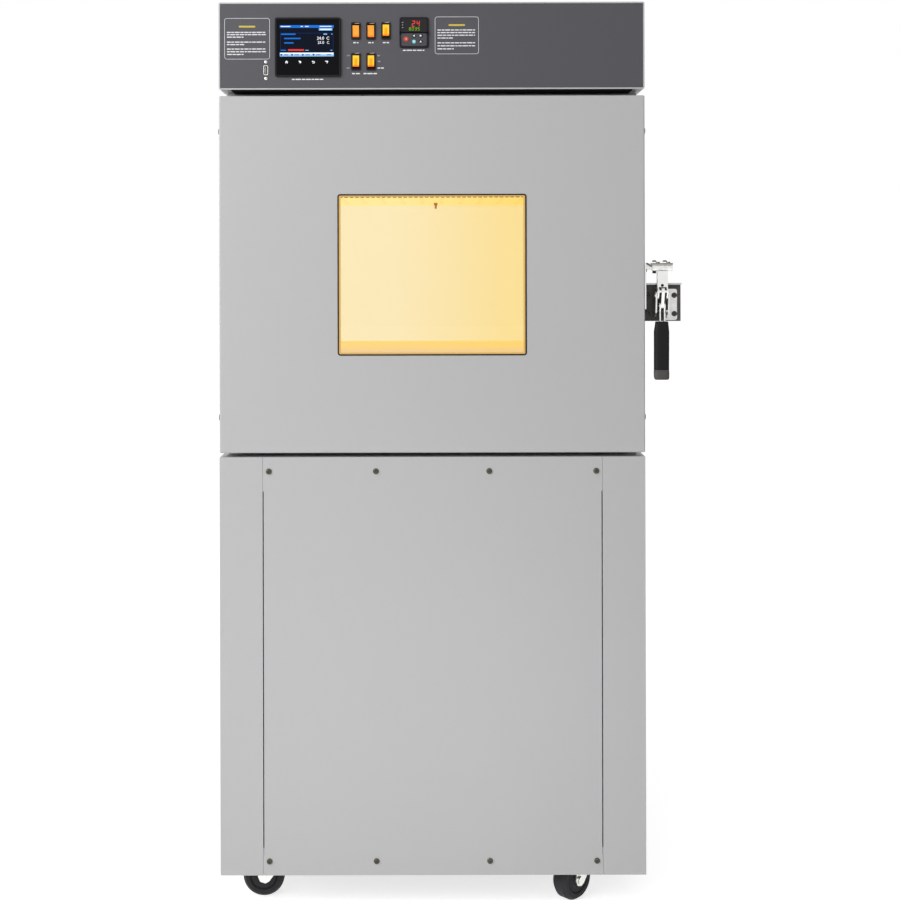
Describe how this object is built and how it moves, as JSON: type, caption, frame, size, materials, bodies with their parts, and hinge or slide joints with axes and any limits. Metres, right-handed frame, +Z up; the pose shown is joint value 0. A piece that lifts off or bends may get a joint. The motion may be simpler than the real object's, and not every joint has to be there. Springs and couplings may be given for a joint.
{
  "type": "climate chamber",
  "caption": "Free-standing climate chamber on casters: insulated door with window and toggle-clamp latch above a machine cabinet, and a control console on top with rocker switches and keys.",
  "frame": {"origin": "centre of the whole object's footprint box, on the floor", "axes": "+X to the right of someone facing the door, +Y to the back, +Z up"},
  "size_m": [0.8432, 1.0184, 1.643],
  "materials": {
    "shell_paint": "satin powder coat",
    "frame_paint": "satin",
    "face_paint": "fine matt texture",
    "stainless": "brushed",
    "zinc": "zinc plated",
    "bronze_screw": "dark plated",
    "rubber": "matt",
    "tread": "matt",
    "silicone": "matt",
    "fibre": "fibre blanket",
    "black_plastic": "matt",
    "amber": "translucent",
    "red_plastic": "gloss",
    "blue_plastic": "gloss",
    "glass": "clear",
    "lamp_glass": "frosted",
    "white_metal": "satin"
  },
  "bodies": {
    "cabinet": {"base_frame": "frame_paint", "lower_shell": "shell_paint", "access_panel": "shell_paint", "rear_panel": "shell_paint", "body_screws": "bronze_screw", "upper_shell": "shell_paint", "insulation": "fibre", "liner": "stainless", "breaker_frame": "silicone", "rear_baffle": "stainless", "ceiling_diffuser": "stainless", "shelf": "stainless", "shelf_runners": "stainless", "chamber_fittings": "lamp_glass", "blower_motor": "frame_paint", "plenum_coils": "stainless", "condensing_unit": "frame_paint", "console_box": "shell_paint", "faceplate": "face_paint", "touch_controller": "black_plastic", "limit_controller": "black_plastic", "panel_fittings": "black_plastic", "hinge_body_leaves": "zinc", "latch_bracket": "white_metal", "clamp_base": "white_metal", "caster_mounts": "zinc"},
    "door": {"door_skin": "shell_paint", "door_pan": "stainless", "door_insulation": "fibre", "window_panes": "glass", "window_trim": "rubber", "door_gasket": "silicone", "door_screws": "bronze_screw", "hinge_door_leaves": "zinc", "door_keeper": "frame_paint"},
    "clamp_arm": {"clamp_arm": "white_metal", "clamp_presser": "white_metal"},
    "clamp_handle": {"clamp_handle": "white_metal", "clamp_grip": "rubber"},
    "clamp_link": {"clamp_link": "white_metal"},
    "blower": {"blower_wheel": "stainless"},
    "condenser_fan": {"condenser_fan": "frame_paint"},
    "key_reset": {"key_reset": "red_plastic"},
    "key_left": {"key_left": "black_plastic"},
    "key_right": {"key_right": "black_plastic"},
    "key_down": {"key_down": "blue_plastic"},
    "key_up": {"key_up": "blue_plastic"},
    "rocker_1": {"rocker_1": "amber"},
    "rocker_2": {"rocker_2": "amber"},
    "rocker_3": {"rocker_3": "amber"},
    "rocker_4": {"rocker_4": "amber"},
    "rocker_5": {"rocker_5": "amber"},
    "fork_front_left": {"caster_fork_front_left": "zinc"},
    "wheel_front_left": {"caster_wheel_front_left": "tread"},
    "fork_front_right": {"caster_fork_front_right": "zinc"},
    "wheel_front_right": {"caster_wheel_front_right": "tread"},
    "fork_rear_left": {"caster_fork_rear_left": "zinc"},
    "wheel_rear_left": {"caster_wheel_rear_left": "tread"},
    "fork_rear_right": {"caster_fork_rear_right": "zinc"},
    "wheel_rear_right": {"caster_wheel_rear_right": "tread"}
  },
  "joints": [
    {"name": "door_hinge", "type": "hinge", "parent": "cabinet", "child": "door", "pos_m": [-0.4159, -0.43175, 1.151], "axis": [0, 0, -1], "range_deg": [0, 110]},
    {"name": "latch_handle", "type": "hinge", "parent": "cabinet", "child": "clamp_handle", "pos_m": [0.3846, -0.48667, 1.08337], "axis": [-1, 0, 0], "range_deg": [0, 58.19]},
    {"name": "latch_arm", "type": "hinge", "parent": "cabinet", "child": "clamp_arm", "pos_m": [0.3846, -0.49275, 1.111], "axis": [1, 0, 0], "range_deg": [0, 67.1]},
    {"name": "latch_link", "type": "hinge", "parent": "clamp_handle", "child": "clamp_link", "pos_m": [0.3846, -0.48937, 1.0926], "axis": [1, 0, 0], "range_deg": [0, 91.6]},
    {"name": "blower_spin", "type": "hinge", "parent": "cabinet", "child": "blower", "pos_m": [-0.0324, 0.12825, 1.155], "axis": [0, 1, 0], "continuous": true},
    {"name": "condenser_fan_spin", "type": "hinge", "parent": "cabinet", "child": "condenser_fan", "pos_m": [0.0376, 0.37125, 0.36275], "axis": [0, 1, 0], "continuous": true},
    {"name": "rocker_1_tilt", "type": "hinge", "parent": "cabinet", "child": "rocker_1", "pos_m": [-0.1693, -0.49275, 1.5911], "axis": [-1, 0, 0], "range_deg": [0, 18]},
    {"name": "rocker_2_tilt", "type": "hinge", "parent": "cabinet", "child": "rocker_2", "pos_m": [-0.1421, -0.49275, 1.5911], "axis": [-1, 0, 0], "range_deg": [0, 18]},
    {"name": "rocker_3_tilt", "type": "hinge", "parent": "cabinet", "child": "rocker_3", "pos_m": [-0.1149, -0.49275, 1.5911], "axis": [1, 0, 0], "range_deg": [0, 18]},
    {"name": "rocker_4_tilt", "type": "hinge", "parent": "cabinet", "child": "rocker_4", "pos_m": [-0.1693, -0.49275, 1.5355], "axis": [1, 0, 0], "range_deg": [0, 18]},
    {"name": "rocker_5_tilt", "type": "hinge", "parent": "cabinet", "child": "rocker_5", "pos_m": [-0.1421, -0.49275, 1.5355], "axis": [1, 0, 0], "range_deg": [0, 18]},
    {"name": "key_reset_press", "type": "slide", "parent": "cabinet", "child": "key_reset", "axis": [0, 1, 0], "range_m": [0, 0.0006], "stiffness_N_per_m": 300},
    {"name": "key_left_press", "type": "slide", "parent": "cabinet", "child": "key_left", "axis": [0, 1, 0], "range_m": [0, 0.0006], "stiffness_N_per_m": 300},
    {"name": "key_right_press", "type": "slide", "parent": "cabinet", "child": "key_right", "axis": [0, 1, 0], "range_m": [0, 0.0006], "stiffness_N_per_m": 300},
    {"name": "key_down_press", "type": "slide", "parent": "cabinet", "child": "key_down", "axis": [0, 1, 0], "range_m": [0, 0.0006], "stiffness_N_per_m": 300},
    {"name": "key_up_press", "type": "slide", "parent": "cabinet", "child": "key_up", "axis": [0, 1, 0], "range_m": [0, 0.0006], "stiffness_N_per_m": 300},
    {"name": "swivel_front_left", "type": "hinge", "parent": "cabinet", "child": "fork_front_left", "pos_m": [-0.3124, -0.41775, 0.09525], "axis": [0, 0, 1], "continuous": true},
    {"name": "roll_front_left", "type": "hinge", "parent": "fork_front_left", "child": "wheel_front_left", "pos_m": [-0.3464, -0.41775, 0.0381], "axis": [0, -1, 0], "continuous": true},
    {"name": "swivel_front_right", "type": "hinge", "parent": "cabinet", "child": "fork_front_right", "pos_m": [0.2476, -0.41775, 0.09525], "axis": [0, 0, 1], "continuous": true},
    {"name": "roll_front_right", "type": "hinge", "parent": "fork_front_right", "child": "wheel_front_right", "pos_m": [0.22273, -0.44094, 0.0381], "axis": [0.682, -0.7314, 0], "continuous": true},
    {"name": "swivel_rear_left", "type": "hinge", "parent": "cabinet", "child": "fork_rear_left", "pos_m": [-0.3124, 0.42225, 0.09525], "axis": [0, 0, 1], "continuous": true},
    {"name": "roll_rear_left", "type": "hinge", "parent": "fork_rear_left", "child": "wheel_rear_left", "pos_m": [-0.33333, 0.44904, 0.0381], "axis": [-0.788, -0.6157, 0], "continuous": true},
    {"name": "swivel_rear_right", "type": "hinge", "parent": "cabinet", "child": "fork_rear_right", "pos_m": [0.2476, 0.42225, 0.09525], "axis": [0, 0, 1], "continuous": true},
    {"name": "roll_rear_right", "type": "hinge", "parent": "fork_rear_right", "child": "wheel_rear_right", "pos_m": [0.25583, 0.45524, 0.0381], "axis": [-0.9703, 0.2419, 0], "continuous": true}
  ],
  "couplings": [
    {"joint": "latch_arm", "follows": "latch_handle", "ratio": 1.1518},
    {"joint": "latch_link", "follows": "latch_handle", "ratio": 1.5726}
  ]
}
